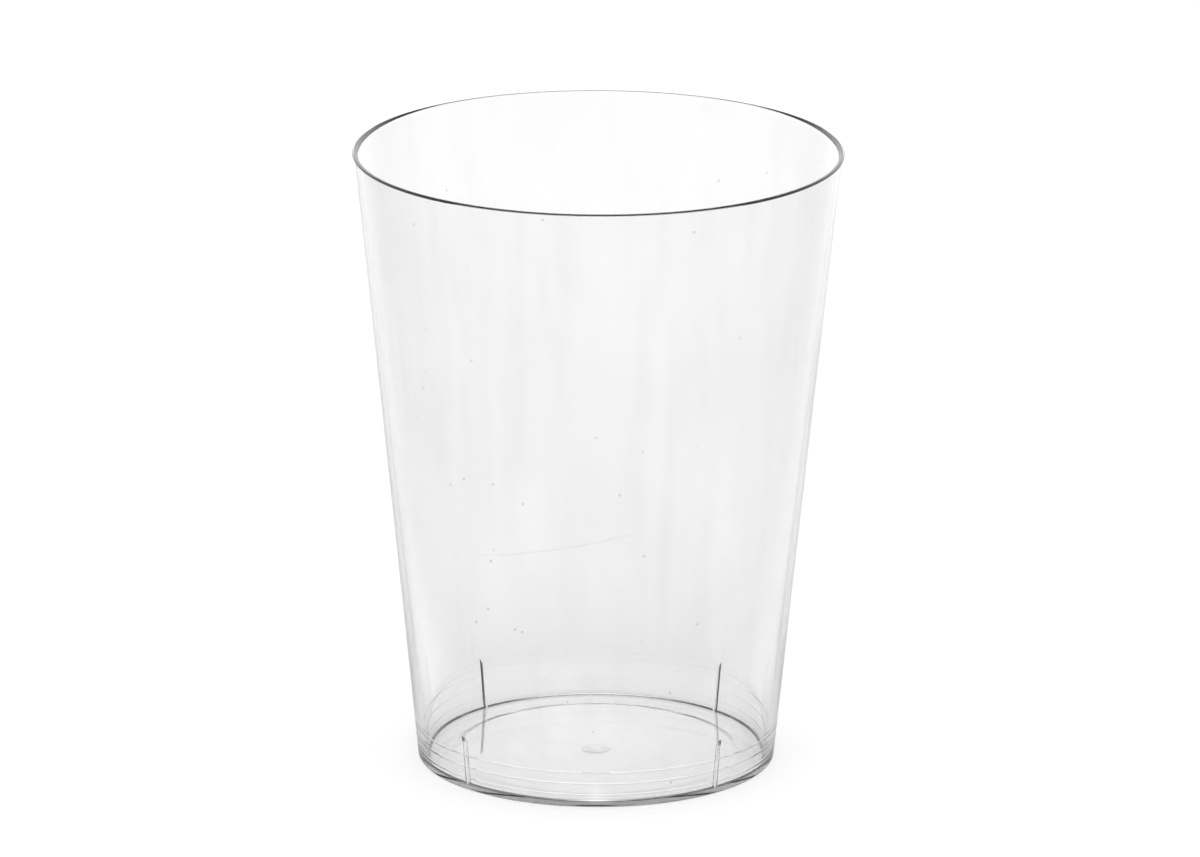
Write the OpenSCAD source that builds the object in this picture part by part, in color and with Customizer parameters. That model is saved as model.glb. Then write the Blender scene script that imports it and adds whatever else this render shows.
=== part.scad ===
// Clear hard-plastic tumbler, moulded in one piece. Millimetres, +Z up.
// The origin is the centre of the foot, on the surface that the cup stands on.

/* [Cup] */
// Height from the foot to the top of the lip
cup_h = 100; // [80:0.5:130]
// Diameter across the outside of the lip
rim_d = 78; // [70:0.5:95]
// Diameter at which the taper of the wall would meet the table
base_d = 57.2; // [48:0.2:66]

/* [Wall] */
// Thickness of the wall just under the lip
wall_top_t = 0.75; // [0.5:0.05:1.4]
// Thickness of the wall at the floor
wall_base_t = 1.4; // [0.7:0.05:2]
// Rounding between the wall and the table
heel_r = 0.25; // [0.1:0.05:0.8]
// Rounding inside the cup, between the floor and the wall
corner_r = 0.6; // [0.3:0.1:3]

/* [Lip] */
// How far the lip stands out past the wall
lip_out = 0.2; // [0.1:0.05:0.8]
// Height of the straight side of the lip, between its round top and round underside
lip_side_h = 0.05; // [0.05:0.05:2]
// Rounding of the lip's inner edge, which the drinker's mouth meets
lip_in_round = 0.7; // [0.1:0.05:1.2]
// Rounding of the lip's outer edge
lip_out_round = 0.2; // [0.1:0.05:0.8]

/* [Floor] */
// Height of the top of the floor above the table
floor_h = 0.7; // [0.6:0.05:3]
// Diameter of the panel that is raised off the table under the floor
panel_d = 46; // [30:0.5:47]
// How far that panel is raised
panel_lift = 0.05; // [0.05:0.05:0.3]
// Width of the sloping step around the panel
panel_step_w = 0.8; // [0.2:0.1:2]

/* [Gate mark] */
// Diameter of the low dome inside the cup, over the place where the plastic entered the mould
gate_d = 4.8; // [2.6:0.2:10]
// Height of that dome
gate_rise = 0.15; // [0.1:0.05:0.6]

/* [Stacking ribs] */
// Number of ribs inside the cup
rib_count = 4; // [2:1:12]
// Turn of the first rib from the +X axis, in degrees
rib_turn = 43; // [0:1:90]
// Height of the ribs above the floor
rib_h = 8.2; // [4:0.1:15]
// How far the ribs stand in from the wall
rib_depth = 0.6; // [0.4:0.05:2]
// Thickness of a rib where it joins the wall
rib_root_t = 0.6; // [0.4:0.05:1.5]
// Thickness of a rib at its free edge
rib_edge_t = 0.45; // [0.3:0.05:1.5]
// Drop of the sloping top of a rib
rib_slope_h = 1; // [0.2:0.1:3]

/* [Rings] */
// Number of fine rings cut round the foot of the wall
ring_count = 3; // [1:1:6]
// Height of the lowest ring
ring_z = 2.1; // [1.2:0.1:6]
// Distance from one ring to the next
ring_pitch = 1.9; // [1:0.1:6]
// Width of a ring
ring_w = 0.3; // [0.2:0.05:0.9]
// Depth of a ring
ring_depth = 0.03; // [0.02:0.01:0.15]

/* [Hidden] */
$fn = 128;

// Outer face of the wall
base_r = base_d / 2;
rim_r = rim_d / 2;
wall_top_r = rim_r - lip_out;
outer_slope = atan((wall_top_r - base_r) / cup_h);
function outer_r(z) = base_r + (wall_top_r - base_r) * z / cup_h;

// Inner face of the wall
floor_edge_r = outer_r(floor_h) - wall_base_t;
mouth_r = wall_top_r - wall_top_t;
inner_slope = atan((mouth_r - floor_edge_r) / (cup_h - floor_h));
function inner_r(z) = floor_edge_r + (z - floor_h) * tan(inner_slope);

// The drinking edge: both of its rounds shrink together where the lip is too thin for them
lip_t = lip_out + wall_top_t;
lip_round_share = 0.95;
lip_fit = min(1, lip_round_share * lip_t / (lip_in_round + lip_out_round));
lip_in_r = lip_in_round * lip_fit;
lip_out_r = lip_out_round * lip_fit;
lip_in_z = cup_h - lip_in_r;
lip_in_c = [inner_r(lip_in_z) + lip_in_r / cos(inner_slope), lip_in_z];
lip_out_c = [rim_r - lip_out_r, cup_h - lip_out_r];
lip_under_z = lip_out_c[1] - lip_side_h - lip_out;

// A round of radius r between a level line at height z and a wall line that
// leaves that level at radius edge_r and leans outwards by slope degrees
function round_centre(edge_r, z, r, slope) =
    [edge_r + r * (1 - sin(slope)) * tan(slope) - r * cos(slope), z + r];
function on_level(centre, r) = [centre[0], centre[1] - r];
function on_wall(centre, r, slope) = centre + r * [cos(slope), -sin(slope)];
heel_c = round_centre(base_r, 0, heel_r, outer_slope);
corner_c = round_centre(floor_edge_r, floor_h, corner_r, inner_slope);

// How far a round runs past the faces it meets, so that they meet in one clean edge
round_overlap = 0.003;

// Radius of the ball whose cap is as wide and as high as the dome
gate_r = gate_d / 2;
gate_ball_r = (gate_r * gate_r + gate_rise * gate_rise) / (2 * gate_rise);

panel_r = panel_d / 2;
rib_top_z = floor_h + rib_h;
rib_in_wall = wall_base_t / 2;
rib_in_floor = (floor_h - panel_lift) / 2;

// Half section of the cup with its corners still cut flat
module blank_section() {
    polygon([
        [0, panel_lift],
        [panel_r - panel_step_w, panel_lift],
        [panel_r, 0],
        on_level(heel_c, heel_r),
        on_wall(heel_c, heel_r, outer_slope),
        [outer_r(lip_under_z), lip_under_z],
        [wall_top_r, lip_under_z],
        [rim_r, lip_under_z + lip_out],
        [rim_r, lip_out_c[1]],
        [lip_out_c[0], cup_h],
        [mouth_r, cup_h],
        [floor_edge_r, floor_h],
        [0, floor_h],
    ]);
}

// The heel and the outside of the lip are rounded off by circles that fill their cut corners
module round_corners() {
    translate(heel_c) circle(r = heel_r);
    translate([wall_top_r, lip_under_z + lip_out]) circle(r = lip_out);
    translate(lip_out_c) circle(r = lip_out_r);
}

// What a circle that just crosses the wall and the level leaves of their corner
module corner_rest(corner, wall_point, level_point, centre, r) {
    difference() {
        polygon([corner, wall_point, centre, level_point]);
        translate(centre) circle(r = r + round_overlap);
    }
}

// Fillet inside the cup, between the floor and the wall
module corner_fillet() {
    wall_point = on_wall(corner_c, corner_r, inner_slope);
    level_point = on_level(corner_c, corner_r);
    corner_rest([floor_edge_r, floor_h], wall_point, level_point, corner_c, corner_r);
}

// The sharp edge that the inner round takes off the lip
module lip_edge() {
    wall_point = on_wall(lip_in_c, -lip_in_r, inner_slope);
    level_point = on_level(lip_in_c, -lip_in_r);
    corner_rest([mouth_r, cup_h], wall_point, level_point, lip_in_c, lip_in_r);
}

// Low dome on the floor, over the place where the plastic entered the mould
module gate_dome() {
    intersection() {
        translate([0, floor_h + gate_rise - gate_ball_r]) circle(r = gate_ball_r);
        translate([0, floor_h]) square([gate_d, gate_rise * 2]);
    }
}

// Section of one ring's groove, which reaches out into the air beside the wall
module ring_section(z) {
    polygon([
        [outer_r(z) - ring_depth, z],
        [outer_r(z - ring_w / 2), z - ring_w / 2],
        [outer_r(z) + ring_w, z],
        [outer_r(z + ring_w / 2), z + ring_w / 2],
    ]);
}

module cup_section() {
    difference() {
        union() {
            blank_section();
            round_corners();
            corner_fillet();
            gate_dome();
        }
        lip_edge();
        for (i = [0 : ring_count - 1]) ring_section(ring_z + i * ring_pitch);
    }
}

// Side view of a rib, from inside the wall to its free edge, which follows the wall
module rib_side() {
    low_z = floor_h - rib_in_floor;
    shoulder_z = rib_top_z - rib_slope_h;
    polygon([
        [inner_r(low_z) - rib_depth, low_z],
        [inner_r(low_z) + rib_in_wall, low_z],
        [inner_r(rib_top_z) + rib_in_wall, rib_top_z],
        [inner_r(rib_top_z), rib_top_z],
        [inner_r(shoulder_z) - rib_depth, shoulder_z],
    ]);
}

// Section across a rib, thinner at its free edge so that it leaves the mould
module rib_section() {
    buried_t = rib_root_t + (rib_root_t - rib_edge_t) * rib_in_wall / rib_depth;
    polygon([
        [rib_in_wall, -buried_t / 2],
        [rib_in_wall, buried_t / 2],
        [-rib_depth, rib_edge_t / 2],
        [-rib_depth, -rib_edge_t / 2],
    ]);
}

module rib() {
    intersection() {
        rotate([90, 0, 0])
            linear_extrude(height = 2 * rib_root_t, center = true) rib_side();
        translate([floor_edge_r, 0, floor_h])
            rotate([0, inner_slope, 0])
                linear_extrude(height = 2 * rib_top_z, center = true) rib_section();
    }
}

module tumbler() {
    color([0.93, 0.95, 0.96, 0.35]) {
        rotate_extrude() cup_section();
        for (i = [0 : rib_count - 1]) rotate(rib_turn + i * 360 / rib_count) rib();
    }
}

tumbler();
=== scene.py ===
"""A clear hard-plastic tumbler standing on a white table. Metres, +Z up, the same frame as the solid."""

import math

import bpy
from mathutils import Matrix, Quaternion, Vector


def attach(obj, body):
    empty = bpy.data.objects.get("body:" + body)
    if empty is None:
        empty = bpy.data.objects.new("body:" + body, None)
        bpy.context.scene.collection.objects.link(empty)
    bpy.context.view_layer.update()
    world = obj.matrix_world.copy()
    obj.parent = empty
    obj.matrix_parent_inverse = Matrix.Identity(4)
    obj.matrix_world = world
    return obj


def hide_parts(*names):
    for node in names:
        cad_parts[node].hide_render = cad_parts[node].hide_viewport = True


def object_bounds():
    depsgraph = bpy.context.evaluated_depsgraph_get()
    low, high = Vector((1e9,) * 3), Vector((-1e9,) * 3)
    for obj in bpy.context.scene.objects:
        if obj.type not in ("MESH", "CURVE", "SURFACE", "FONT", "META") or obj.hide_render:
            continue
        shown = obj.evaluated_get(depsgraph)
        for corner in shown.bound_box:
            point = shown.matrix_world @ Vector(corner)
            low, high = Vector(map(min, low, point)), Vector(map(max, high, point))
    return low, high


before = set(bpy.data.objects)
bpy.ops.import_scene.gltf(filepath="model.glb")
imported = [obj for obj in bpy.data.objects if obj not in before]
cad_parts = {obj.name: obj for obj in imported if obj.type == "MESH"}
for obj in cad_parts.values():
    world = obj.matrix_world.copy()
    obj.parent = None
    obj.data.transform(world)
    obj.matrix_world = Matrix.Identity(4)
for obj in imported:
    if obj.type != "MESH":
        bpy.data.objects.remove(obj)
cad_low, cad_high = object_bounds()

MM = 0.001
TINY = 1e-9

# The cup's section, as the solid has it
CUP_H = cad_high.z
RIM_R = cad_high.x
BASE_R = 28.6 * MM
WALL_TOP_T = 0.75 * MM
WALL_BASE_T = 1.4 * MM
HEEL_R = 0.25 * MM
CORNER_R = 0.6 * MM
LIP_OUT = 0.2 * MM
LIP_SIDE_H = 0.05 * MM
LIP_ROUND_IN = 0.7 * MM
LIP_ROUND_OUT = 0.2 * MM
FLOOR_H = 0.7 * MM
PANEL_R = 23 * MM
PANEL_LIFT = 0.05 * MM
PANEL_STEP_W = 0.8 * MM
GATE_R = 2.4 * MM
GATE_RISE = 0.15 * MM

# Stacking ribs inside the cup, whose free edges are rounded only here
RIB_COUNT = 4
RIB_TURN = math.radians(43)
RIB_H = 8.2 * MM
RIB_DEPTH = 0.6 * MM
RIB_ROOT_T = 0.6 * MM
RIB_EDGE_T = 0.45 * MM
RIB_SLOPE_H = 1 * MM
RIB_ROUND = 0.1 * MM
RIB_ROUND_MIDDLE = 0.3

# Fine rings round the foot of the wall
RING_COUNT = 3
RING_Z = 2.1 * MM
RING_PITCH = 1.9 * MM
RING_W = 0.3 * MM
RING_DEPTH = 0.03 * MM

# Steps of the mesh: columns round the cup, and rows along its section
COLUMNS = 600
ARC_STEP = math.radians(6)
DOME_STEP = math.radians(0.8)
WALL_STEP = 10 * MM

# The photograph's view. The lens and the sensor are in millimetres, as Blender takes them
LENS = 293.3
SENSOR_W = 36
CAMERA_DISTANCE = 1560 * MM
CAMERA_PITCH = math.radians(16.46)
CAMERA_AIM = Vector((0.43, 0, 54.11)) * MM
CAMERA_ROLL = math.radians(0.23)
CAMERA_SIGHT = 20

# The table, a little under the foot
TABLE_GAP = 0.02 * MM
TABLE_HALF = 3

# How white the table is, and how much it glows for the camera and for rays that went through the cup
TABLE_WHITE = 0.5
GLOW_CAMERA = 0.52
# For rays through the cup the glow is a little weaker close to the cup, a painted shadow round its foot
GLOW_THROUGH = (0.40, 0.42)
THROUGH_REACH = (50 * MM, 300 * MM)
# GLOW_UNDER is a painted pool of light on the table under the foot, seen through the cup
GLOW_UNDER = 0.46

# How much it glows in reflections, as painted reflections: rising from in front of the cup to behind it, and
# a painted bright patch close beside its foot
GLOW_MIRRORED = (0.03, 1.0)
MIRRORED_FALL = 9
MIRRORED_CENTRE_Y = -35 * MM
GLOW_BESIDE = 0.28
BESIDE_X = (26 * MM, 29 * MM)
BESIDE_Y = (-5 * MM, 5 * MM)
BESIDE_REACH = (40 * MM, 110 * MM)

# The room's light: the height of a direction, from 0 (level) to 1 (straight up), and its brightness
SKY = ((0.0, 1.1), (0.08, 1.6), (0.4, 1.6), (0.5, 0.95), (0.62, 0.45), (0.8, 0.45), (0.87, 2.2), (1.0, 2.2))

# Clear polystyrene: how it bends light, and how much it takes over a metre
PLASTIC_IOR = 1.59
PLASTIC_DENSITY = 26.0

# Its faint marks: cells per metre, the noise's fine detail and range, and the light lost at each face
PATCH_CELLS = (36, 36, 30)
PATCH_DETAIL = 2
PATCH_RANGE = (0.42, 0.62)
PATCH_LOSS = 0.022
STREAK_CELLS = (230, 230, 28)
STREAK_DETAIL = 3
STREAK_RANGE = (0.45, 0.7)
STREAK_LOSS = 0.022
SPECK_CELLS = 250
SPECK_R = 0.22 * MM
SPECK_RARITY = 0.8
SPECK_LOSS = 0.4
SCRATCH_Z = 45.2 * MM
SCRATCH_SLOPE = 0.22
SCRATCH_X = (-20 * MM, 3 * MM)
SCRATCH_FADE = 5 * MM
SCRATCH_W = 0.12 * MM
SCRATCH_LOSS = 0.08
# The gate mark's dark half ring is painted shade, on its front half only
GATE_PAINTED_SHADE_R = (0.6 * MM, 1.4 * MM)
GATE_PAINTED_SHADE_Y = (-0.8 * MM, 0.4 * MM)
GATE_PAINTED_SHADE_LOSS = 0.5
RIPPLE_CELLS = (70, 70, 25)
RIPPLE_DETAIL = 1
RIPPLE_H = 0.01 * MM

# How many faces of the cup a ray may pass or be reflected by
CLEAR_BOUNCES = 40
GLOSSY_BOUNCES = 16

UP = math.pi / 2
WALL_TOP_R = RIM_R - LIP_OUT
OUTER_SLOPE = math.atan((WALL_TOP_R - BASE_R) / CUP_H)
RIB_TOP_Z = FLOOR_H + RIB_H


def outer_r(z):
    """Radius of the wall's outer face at height z."""
    return BASE_R + (WALL_TOP_R - BASE_R) * z / CUP_H


FLOOR_EDGE_R = outer_r(FLOOR_H) - WALL_BASE_T
MOUTH_R = WALL_TOP_R - WALL_TOP_T
INNER_SLOPE = math.atan((MOUTH_R - FLOOR_EDGE_R) / (CUP_H - FLOOR_H))
RIB_HALF_ANGLE = math.atan(RIB_ROOT_T / 2 / FLOOR_EDGE_R)


def inner_r(z):
    """Radius of the wall's inner face at height z."""
    return FLOOR_EDGE_R + (z - FLOOR_H) * math.tan(INNER_SLOPE)


def round_centre(edge_r, z, radius, slope):
    """Centre of a round between a level line at z and a wall line that leans outwards from edge_r."""
    drift = radius * (1 - math.sin(slope)) * math.tan(slope)
    return edge_r + drift - radius * math.cos(slope), z + radius


def line(start, end):
    """A straight stretch of the section as rows (r, z, normal r, normal z), the solid on its right."""
    across, rise = end[0] - start[0], end[1] - start[1]
    length = math.hypot(across, rise)
    steps = math.ceil(length / WALL_STEP)
    shares = [i / steps for i in range(steps + 1)]
    return [(start[0] + across * k, start[1] + rise * k, -rise / length, across / length) for k in shares]


def arc(centre, radius, start, end, step=ARC_STEP):
    """A round stretch of the section, as rows. Clockwise stretches bulge, the others are hollow."""
    steps = max(2, math.ceil(abs(end - start) / step))
    side = 1 if end < start else -1
    rows = []
    for i in range(steps + 1):
        angle = start + (end - start) * i / steps
        c, s = math.cos(angle), math.sin(angle)
        rows.append((centre[0] + radius * c, centre[1] + radius * s, side * c, side * s))
    return rows


def lip_stretches():
    """From the inner face over the lip to the outer face of the wall."""
    in_z = CUP_H - LIP_ROUND_IN
    in_c = (inner_r(in_z) + LIP_ROUND_IN / math.cos(INNER_SLOPE), in_z)
    out_c = (RIM_R - LIP_ROUND_OUT, CUP_H - LIP_ROUND_OUT)
    under_c = (WALL_TOP_R, out_c[1] - LIP_SIDE_H)
    under_z = under_c[1] - LIP_OUT
    first = arc(in_c, LIP_ROUND_IN, math.pi - INNER_SLOPE, UP)
    last = arc(under_c, LIP_OUT, 0, -UP)
    return [
        first,
        line(first[-1][:2], (out_c[0], CUP_H)),
        arc(out_c, LIP_ROUND_OUT, UP, 0),
        line((RIM_R, out_c[1]), (RIM_R, under_c[1])),
        last,
        line(last[-1][:2], (outer_r(under_z), under_z)),
    ]


def ring_stretches(top):
    """The outer face from the point top down through the rings' grooves, and the point where it ends."""
    stretches = []
    for i in reversed(range(RING_COUNT)):
        z = RING_Z + i * RING_PITCH
        above = (outer_r(z + RING_W / 2), z + RING_W / 2)
        deep = (outer_r(z) - RING_DEPTH, z)
        below = (outer_r(z - RING_W / 2), z - RING_W / 2)
        stretches += [line(top, above), line(above, deep), line(deep, below)]
        top = below
    return stretches, top


def cup_section():
    """The half section from the axis on the cup's floor to the axis underneath, as stretches of rows."""
    dome_r = (GATE_R**2 + GATE_RISE**2) / (2 * GATE_RISE)
    dome_c = (0, FLOOR_H + GATE_RISE - dome_r)
    corner_c = round_centre(FLOOR_EDGE_R, FLOOR_H, CORNER_R, INNER_SLOPE)
    heel_c = round_centre(BASE_R, 0, HEEL_R, OUTER_SLOPE)
    fillet = arc(corner_c, CORNER_R, -UP, -INNER_SLOPE)
    shoulder = (inner_r(RIB_TOP_Z - RIB_SLOPE_H), RIB_TOP_Z - RIB_SLOPE_H)
    rib_top = (inner_r(RIB_TOP_Z), RIB_TOP_Z)
    lip = lip_stretches()
    rings, ring_end = ring_stretches(lip[-1][-1][:2])
    heel = arc(heel_c, HEEL_R, -OUTER_SLOPE, -UP)
    return [
        arc(dome_c, dome_r, UP, math.acos(GATE_R / dome_r), DOME_STEP),
        line((GATE_R, FLOOR_H), (corner_c[0], FLOOR_H)),
        fillet,
        line(fillet[-1][:2], shoulder),
        line(shoulder, rib_top),
        line(rib_top, lip[0][0][:2]),
        *lip,
        *rings,
        line(ring_end, heel[0][:2]),
        heel,
        line(heel[-1][:2], (PANEL_R, 0)),
        line((PANEL_R, 0), (PANEL_R - PANEL_STEP_W, PANEL_LIFT)),
        line((PANEL_R - PANEL_STEP_W, PANEL_LIFT), (0, PANEL_LIFT)),
    ]


def bears_ribs(row):
    """Whether a row of the section lies on the stretch inside the cup that the ribs stand on."""
    r, z, normal_r, _ = row
    level = FLOOR_H - TINY < z < RIB_TOP_Z + TINY
    return level and PANEL_R < r < inner_r(z) + TINY and normal_r < TINY


def rib_columns(r, z):
    """Places (along the rib, across it) of a rib's columns where the inner face passes (r, z)."""
    reach = min(1, max(0, (RIB_TOP_Z - z) / RIB_SLOPE_H)) * RIB_DEPTH
    edge = inner_r(z) - reach
    depth = r - edge
    draft = (RIB_ROOT_T - RIB_EDGE_T) / 2 / RIB_DEPTH
    half_root = RIB_ROOT_T / 2 - draft * max(0, inner_r(z) - r)
    root = math.sqrt(r * r - half_root * half_root)
    if depth <= 0:
        return [(root, -half_root), (root, half_root)]
    half_edge = RIB_ROOT_T / 2 - draft * reach
    rounding = min(RIB_ROUND, depth / 2)
    side = [
        (root, -half_root),
        (edge + rounding, -half_edge - draft * rounding),
        (edge + rounding * RIB_ROUND_MIDDLE, -half_edge + rounding * RIB_ROUND_MIDDLE),
        (edge, -half_edge + rounding),
    ]
    return side + [(x, -y) for x, y in reversed(side)]


def column_angles():
    """Angle of each column round the cup, and whether a rib's own columns stand there."""
    clear = RIB_HALF_ANGLE + math.pi / COLUMNS
    ribs = [RIB_TURN + i * 2 * math.pi / RIB_COUNT for i in range(RIB_COUNT)]
    columns = [(rib, True) for rib in ribs]
    for i in range(COLUMNS):
        angle = (i + 0.5) * 2 * math.pi / COLUMNS
        away = [(angle - rib + math.pi) % (2 * math.pi) - math.pi for rib in ribs]
        if min(abs(a) for a in away) > clear:
            columns.append((angle, False))
    return sorted(columns)


def spread(groups, sizes):
    """A row's vertex numbers, with a rib's two plain corners repeated to match the other row."""
    numbers = []
    for group, size in zip(groups, sizes):
        if len(group) < size:
            group = [group[0]] * (size // 2) + [group[1]] * (size // 2)
        numbers += group
    return numbers


class TurnedMesh:
    """The cup's vertices, faces and corner normals, added row by row along its section."""

    def __init__(self):
        self.columns = column_angles()
        self.verts = []
        self.faces = []
        self.normals = []

    def add_vertex(self, x, y, z):
        """Adds a vertex and gives its number."""
        self.verts.append((x, y, z))
        return len(self.verts) - 1

    def add_axis_point(self, z):
        """Adds one vertex on the axis and gives it as the group of every column."""
        point = self.add_vertex(0, 0, z)
        return [[point] * (2 if is_rib else 1) for _, is_rib in self.columns]

    def add_row(self, row):
        """Adds a ring of vertices and gives their numbers, as a group for each column."""
        r, z = row[:2]
        if r < TINY:
            return self.add_axis_point(z)
        groups = []
        for angle, is_rib in self.columns:
            if is_rib and bears_ribs(row):
                c, s = math.cos(angle), math.sin(angle)
                places = [(x * c - y * s, x * s + y * c) for x, y in rib_columns(r, z)]
            else:
                sides = (-RIB_HALF_ANGLE, RIB_HALF_ANGLE) if is_rib else (0,)
                places = [(r * math.cos(angle + side), r * math.sin(angle + side)) for side in sides]
            groups.append([self.add_vertex(x, y, z) for x, y in places])
        return groups

    def rib_strips(self, sizes):
        """Numbers of the strips between a rib's own columns, whose faces are flat."""
        strips = set()
        at = 0
        for (_, is_rib), size in zip(self.columns, sizes):
            if is_rib and size > 2:
                strips.update(range(at, at + size - 1))
            at += size
        return strips

    def turned_normal(self, vertex, row):
        """The turned face's exact normal at a vertex of the row."""
        x, y, _ = self.verts[vertex]
        _, _, normal_r, normal_z = row
        r = math.hypot(x, y)
        if r > TINY:
            return normal_r * x / r, normal_r * y / r, normal_z
        return 0, 0, math.copysign(1, normal_z)

    def add_faces(self, groups, next_groups, row, next_row):
        """Adds the faces between two rows that follow each other."""
        sizes = [max(len(a), len(b)) for a, b in zip(groups, next_groups)]
        first, second = spread(groups, sizes), spread(next_groups, sizes)
        flat_strips = self.rib_strips(sizes)
        for i in range(len(first)):
            j = (i + 1) % len(first)
            corners = [(first[i], row), (second[i], next_row), (second[j], next_row), (first[j], row)]
            kept = [corner for k, corner in enumerate(corners) if corner[0] != corners[k - 1][0]]
            if len(kept) < 3:
                continue
            self.faces.append([vertex for vertex, _ in kept])
            if i in flat_strips:
                a, b, c = [Vector(self.verts[vertex]) for vertex, _ in kept[:3]]
                flat_normal = tuple((b - a).cross(c - b).normalized())
                self.normals.extend([flat_normal] * len(kept))
            else:
                self.normals.extend(self.turned_normal(vertex, at) for vertex, at in kept)


def build_cup():
    """The whole cup as one closed mesh with exact normals on its turned faces."""
    turned = TurnedMesh()
    section = cup_section()
    groups = turned.add_row(section[0][0])
    for stretch in section:
        for row, next_row in zip(stretch, stretch[1:]):
            next_groups = turned.add_row(next_row)
            turned.add_faces(groups, next_groups, row, next_row)
            groups = next_groups
    mesh = bpy.data.meshes.new("cup")
    mesh.from_pydata(turned.verts, [], turned.faces)
    mesh.validate()
    mesh.shade_smooth()
    mesh.normals_split_custom_set(turned.normals)
    cup = bpy.data.objects.new("cup", mesh)
    bpy.context.scene.collection.objects.link(cup)
    return cup


def node_of(tree, kind, **values):
    """A new node with the given properties."""
    node = tree.nodes.new(kind)
    for name, value in values.items():
        setattr(node, name, value)
    return node


def new_material(name):
    """A new material and its output node, the only one that it has."""
    mat = bpy.data.materials.new(name)
    mat.use_nodes = True
    mat.node_tree.nodes.clear()
    return mat, node_of(mat.node_tree, "ShaderNodeOutputMaterial")


def math_node(tree, operation, *values):
    """The result of a math node, whose inputs are sockets or numbers."""
    node = node_of(tree, "ShaderNodeMath", operation=operation)
    for socket, value in zip(node.inputs, values):
        if isinstance(value, (int, float)):
            socket.default_value = value
        else:
            tree.links.new(value, socket)
    return node.outputs[0]


def product(tree, result, *factors):
    """The product of sockets and numbers."""
    for factor in factors:
        result = math_node(tree, "MULTIPLY", result, factor)
    return result


def one_minus(tree, value):
    """What a value leaves of 1."""
    return math_node(tree, "SUBTRACT", 1, value)


def vector_node(tree, operation, vector, other=(0, 0, 0)):
    """A vector math node over a socket and a fixed vector."""
    node = node_of(tree, "ShaderNodeVectorMath", operation=operation)
    tree.links.new(vector, node.inputs[0])
    node.inputs[1].default_value = other
    return node


def length_of(tree, vector):
    """The length of a vector."""
    return vector_node(tree, "LENGTH", vector).outputs["Value"]


def split(tree, vector):
    """The X, Y and Z of a vector."""
    node = node_of(tree, "ShaderNodeSeparateXYZ")
    tree.links.new(vector, node.inputs[0])
    return node.outputs


def smooth_step(tree, value, low, high):
    """0 below low, 1 above high and a soft rise between them."""
    node = node_of(tree, "ShaderNodeMapRange", interpolation_type="SMOOTHSTEP")
    tree.links.new(value, node.inputs["Value"])
    node.inputs["From Min"].default_value = low
    node.inputs["From Max"].default_value = high
    return node.outputs[0]


def noise(tree, coords, cells, detail):
    """Noise over the coordinates, with so many cells per metre along X, Y and Z."""
    node = node_of(tree, "ShaderNodeTexNoise")
    node.inputs["Scale"].default_value = 1
    node.inputs["Detail"].default_value = detail
    tree.links.new(vector_node(tree, "MULTIPLY", coords, cells).outputs[0], node.inputs["Vector"])
    return node.outputs["Fac"]


def specks(tree, coords):
    """1 inside a few tiny specks, scattered over the wall."""
    cells = node_of(tree, "ShaderNodeTexVoronoi")
    cells.inputs["Scale"].default_value = SPECK_CELLS
    tree.links.new(coords, cells.inputs["Vector"])
    near = math_node(tree, "LESS_THAN", cells.outputs["Distance"], SPECK_R * SPECK_CELLS)
    chance = split(tree, cells.outputs["Color"])["X"]
    return product(tree, near, math_node(tree, "GREATER_THAN", chance, SPECK_RARITY))


def scratch(tree, x, y, z):
    """1 along the fine scratch across the front of the wall."""
    middle_z = math_node(tree, "MULTIPLY_ADD", x, SCRATCH_SLOPE, SCRATCH_Z)
    off = math_node(tree, "ABSOLUTE", math_node(tree, "SUBTRACT", z, middle_z))
    stroke = one_minus(tree, smooth_step(tree, off, SCRATCH_W / 2, SCRATCH_W))
    start, end = [smooth_step(tree, x, at, at + SCRATCH_FADE) for at in SCRATCH_X]
    front = math_node(tree, "LESS_THAN", y, 0)
    return product(tree, stroke, math_node(tree, "SUBTRACT", start, end), front)


def gate_painted_shade(tree, x, y):
    """1 on the front half of the gate mark's dome: painted shade, a dark half ring in place of the dark
    crescent that the dome's bent light shows from the front.
    """
    flat = node_of(tree, "ShaderNodeCombineXYZ")
    tree.links.new(x, flat.inputs[0])
    tree.links.new(y, flat.inputs[1])
    radius = length_of(tree, flat.outputs[0])
    inside = math_node(tree, "LESS_THAN", radius, GATE_R)
    front = one_minus(tree, smooth_step(tree, y, *GATE_PAINTED_SHADE_Y))
    return product(tree, inside, smooth_step(tree, radius, *GATE_PAINTED_SHADE_R), front)


def clearness(tree, coords):
    """The share of light that each face lets through, a little less at the plastic's faint marks and in the
    painted shade on the front half of the gate mark.
    """
    x, y, z = split(tree, coords)
    marks = [
        (smooth_step(tree, noise(tree, coords, PATCH_CELLS, PATCH_DETAIL), *PATCH_RANGE), PATCH_LOSS),
        (smooth_step(tree, noise(tree, coords, STREAK_CELLS, STREAK_DETAIL), *STREAK_RANGE), STREAK_LOSS),
        (specks(tree, coords), SPECK_LOSS),
        (scratch(tree, x, y, z), SCRATCH_LOSS),
        # Painted shade: a dark half ring on the front of the gate mark's dome
        (gate_painted_shade(tree, x, y), GATE_PAINTED_SHADE_LOSS),
    ]
    return product(tree, 1, *[one_minus(tree, product(tree, mark, loss)) for mark, loss in marks])


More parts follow.
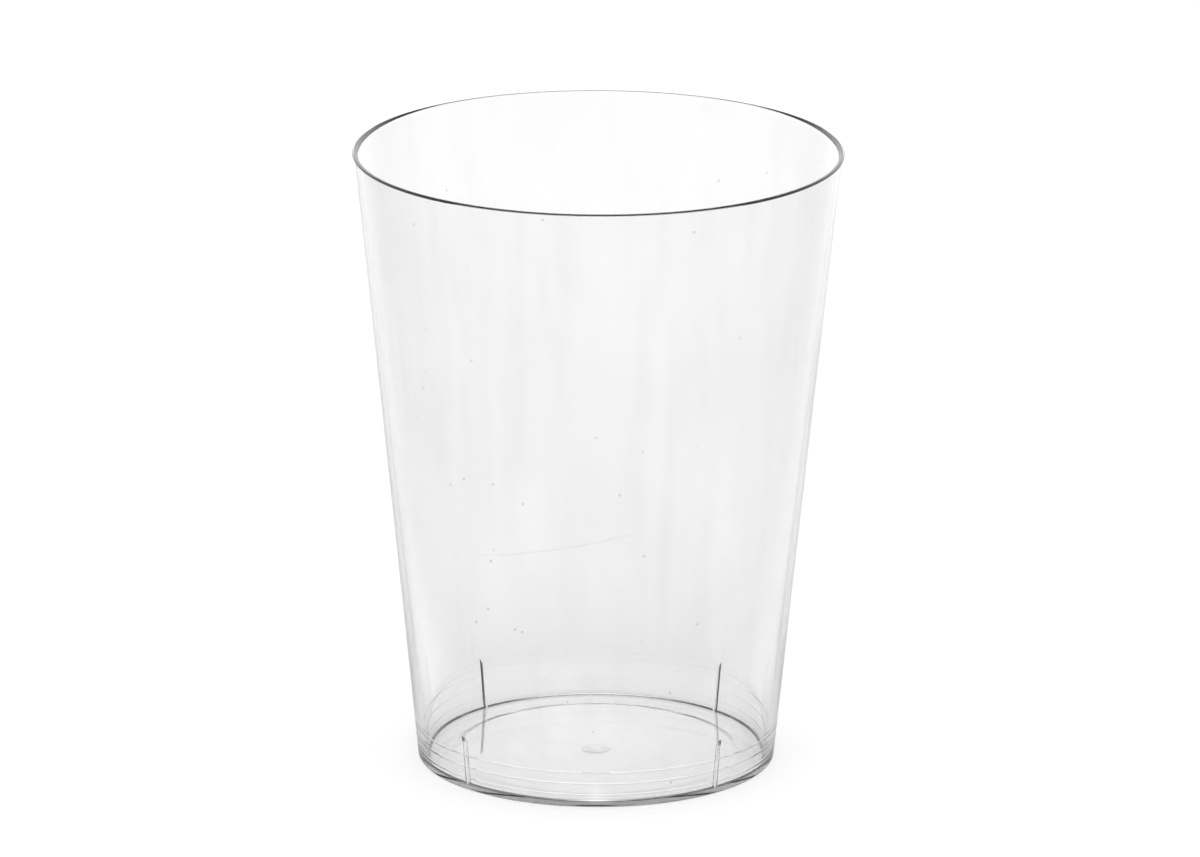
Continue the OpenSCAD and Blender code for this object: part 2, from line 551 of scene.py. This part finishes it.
def clear_plastic():
    """Clear polystyrene, a little cloudy and streaked, with painted shade on the front of its gate mark,
    that takes some light over each millimetre.
    """
    mat, out = new_material("clear_plastic")
    tree = mat.node_tree
    coords = node_of(tree, "ShaderNodeTexCoord").outputs["Object"]
    shell = node_of(tree, "ShaderNodeBsdfPrincipled")
    shell.inputs["Roughness"].default_value = 0.0
    shell.inputs["IOR"].default_value = PLASTIC_IOR
    shell.inputs["Transmission Weight"].default_value = 1.0
    tree.links.new(clearness(tree, coords), shell.inputs["Base Color"])
    tree.links.new(shell.outputs[0], out.inputs["Surface"])
    ripple = node_of(tree, "ShaderNodeBump")
    ripple.inputs["Strength"].default_value = 1.0
    ripple.inputs["Distance"].default_value = RIPPLE_H
    tree.links.new(noise(tree, coords, RIPPLE_CELLS, RIPPLE_DETAIL), ripple.inputs["Height"])
    tree.links.new(ripple.outputs[0], shell.inputs["Normal"])
    body = node_of(tree, "ShaderNodeVolumeAbsorption")
    body.inputs["Color"].default_value = (0.0, 0.0, 0.0, 1)
    body.inputs["Density"].default_value = PLASTIC_DENSITY
    tree.links.new(body.outputs[0], out.inputs["Volume"])
    return mat


def through_glow(tree, reach):
    """What shows through the cup: a little more with the distance, so a faint painted shadow close round the
    cup, and an own, brighter value under the foot, a painted pool of light.
    """
    far = node_of(tree, "ShaderNodeMapRange")
    tree.links.new(reach, far.inputs["Value"])
    for name, value in zip(("From Min", "From Max", "To Min", "To Max"), THROUGH_REACH + GLOW_THROUGH):
        far.inputs[name].default_value = value
    # Painted light under the foot
    under = product(tree, math_node(tree, "LESS_THAN", reach, PANEL_R), GLOW_UNDER)
    return math_node(tree, "MAXIMUM", far.outputs[0], under)


def mirrored_glow(tree, position, reach):
    """Painted reflections: little glow in front of the cup, much behind it, and some close beside its foot,
    a painted bright patch.
    """
    moved = vector_node(tree, "SUBTRACT", position, (0, MIRRORED_CENTRE_Y, 0))
    away = vector_node(tree, "NORMALIZE", moved.outputs[0])
    towards_back = math_node(tree, "MAXIMUM", split(tree, away.outputs[0])["Y"], 0)
    rise = math_node(tree, "POWER", towards_back, MIRRORED_FALL)
    low_glow, high_glow = GLOW_MIRRORED
    behind = math_node(tree, "MULTIPLY_ADD", rise, high_glow - low_glow, low_glow)
    x, y, _ = split(tree, position)
    # Painted light beside the foot, which only reflections see
    beside = product(
        tree,
        smooth_step(tree, math_node(tree, "ABSOLUTE", x), *BESIDE_X),
        smooth_step(tree, y, *BESIDE_Y),
        one_minus(tree, smooth_step(tree, reach, *BESIDE_REACH)),
        GLOW_BESIDE,
    )
    return math_node(tree, "MAXIMUM", behind, beside)


def table_white():
    """A white table, which glows for the camera, through the cup and in reflections, each in its own way."""
    mat, out = new_material("table_white")
    tree = mat.node_tree
    path = node_of(tree, "ShaderNodeLightPath")
    through = path.outputs["Is Transmission Ray"]
    seen = math_node(tree, "MAXIMUM", through, path.outputs["Is Glossy Ray"])
    mirrored = math_node(tree, "MINIMUM", path.outputs["Glossy Depth"], 1)
    position = node_of(tree, "ShaderNodeNewGeometry").outputs["Position"]
    reach = length_of(tree, position)
    in_reflections = product(tree, seen, mirrored, mirrored_glow(tree, position, reach))
    through_cup = product(tree, through, one_minus(tree, mirrored), through_glow(tree, reach))
    for_camera = product(tree, path.outputs["Is Camera Ray"], GLOW_CAMERA)
    glow = math_node(tree, "MAXIMUM", math_node(tree, "MAXIMUM", in_reflections, through_cup), for_camera)
    paint = node_of(tree, "ShaderNodeBsdfDiffuse")
    paint.inputs["Color"].default_value = (TABLE_WHITE, TABLE_WHITE, TABLE_WHITE, 1)
    light = node_of(tree, "ShaderNodeEmission")
    tree.links.new(glow, light.inputs["Strength"])
    both = node_of(tree, "ShaderNodeAddShader")
    tree.links.new(paint.outputs[0], both.inputs[0])
    tree.links.new(light.outputs[0], both.inputs[1])
    tree.links.new(both.outputs[0], out.inputs["Surface"])
    return mat


def build_table():
    """The table that the cup stands on, which is scenery and no part of the cup."""
    corners = [(x, y, -TABLE_GAP) for x, y in ((-1, -1), (1, -1), (1, 1), (-1, 1))]
    mesh = bpy.data.meshes.new("table_top")
    mesh.from_pydata([(x * TABLE_HALF, y * TABLE_HALF, z) for x, y, z in corners], [], [(0, 1, 2, 3)])
    mesh.materials.append(table_white())
    table = bpy.data.objects.new("table_top", mesh)
    bpy.context.scene.collection.objects.link(table)


def build_world():
    """A white room at the table's level, dark higher up, with a wide soft light overhead."""
    world = bpy.data.worlds.new("studio")
    bpy.context.scene.world = world
    world.use_nodes = True
    tree = world.node_tree
    tree.nodes.clear()
    out = node_of(tree, "ShaderNodeOutputWorld")
    sky = node_of(tree, "ShaderNodeBackground")
    ramp = node_of(tree, "ShaderNodeValToRGB")
    direction = node_of(tree, "ShaderNodeTexCoord").outputs["Generated"]
    tree.links.new(split(tree, direction)["Z"], ramp.inputs[0])
    tree.links.new(ramp.outputs[0], sky.inputs["Color"])
    tree.links.new(sky.outputs[0], out.inputs["Surface"])
    elements = ramp.color_ramp.elements
    elements[0].position = SKY[0][0]
    elements[1].position = SKY[-1][0]
    for height, _ in SKY[1:-1]:
        elements.new(height)
    for element, (height, level) in zip(elements, SKY):
        element.position = height
        element.color = (level, level, level, 1)


def build_camera():
    """The camera at the photograph's viewing angle."""
    data = bpy.data.cameras.new("camera")
    data.lens = LENS
    data.sensor_width = SENSOR_W
    data.clip_end = CAMERA_SIGHT
    camera = bpy.data.objects.new("camera", data)
    back = Vector((0, -math.cos(CAMERA_PITCH), math.sin(CAMERA_PITCH)))
    camera.location = CAMERA_AIM + back * CAMERA_DISTANCE
    camera.rotation_mode = "QUATERNION"
    camera.rotation_quaternion = (-back).to_track_quat("-Z", "Y") @ Quaternion((0, 0, 1), CAMERA_ROLL)
    bpy.context.scene.collection.objects.link(camera)
    bpy.context.scene.camera = camera


scene = bpy.context.scene
scene.view_settings.view_transform = "Standard"
scene.cycles.max_bounces = CLEAR_BOUNCES
scene.cycles.transmission_bounces = CLEAR_BOUNCES
scene.cycles.glossy_bounces = GLOSSY_BOUNCES
scene.cycles.use_denoising = True

cup = build_cup()
cup.data.materials.append(clear_plastic())
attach(cup, "root")
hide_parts("tumbler")
build_table()
build_world()
build_camera()
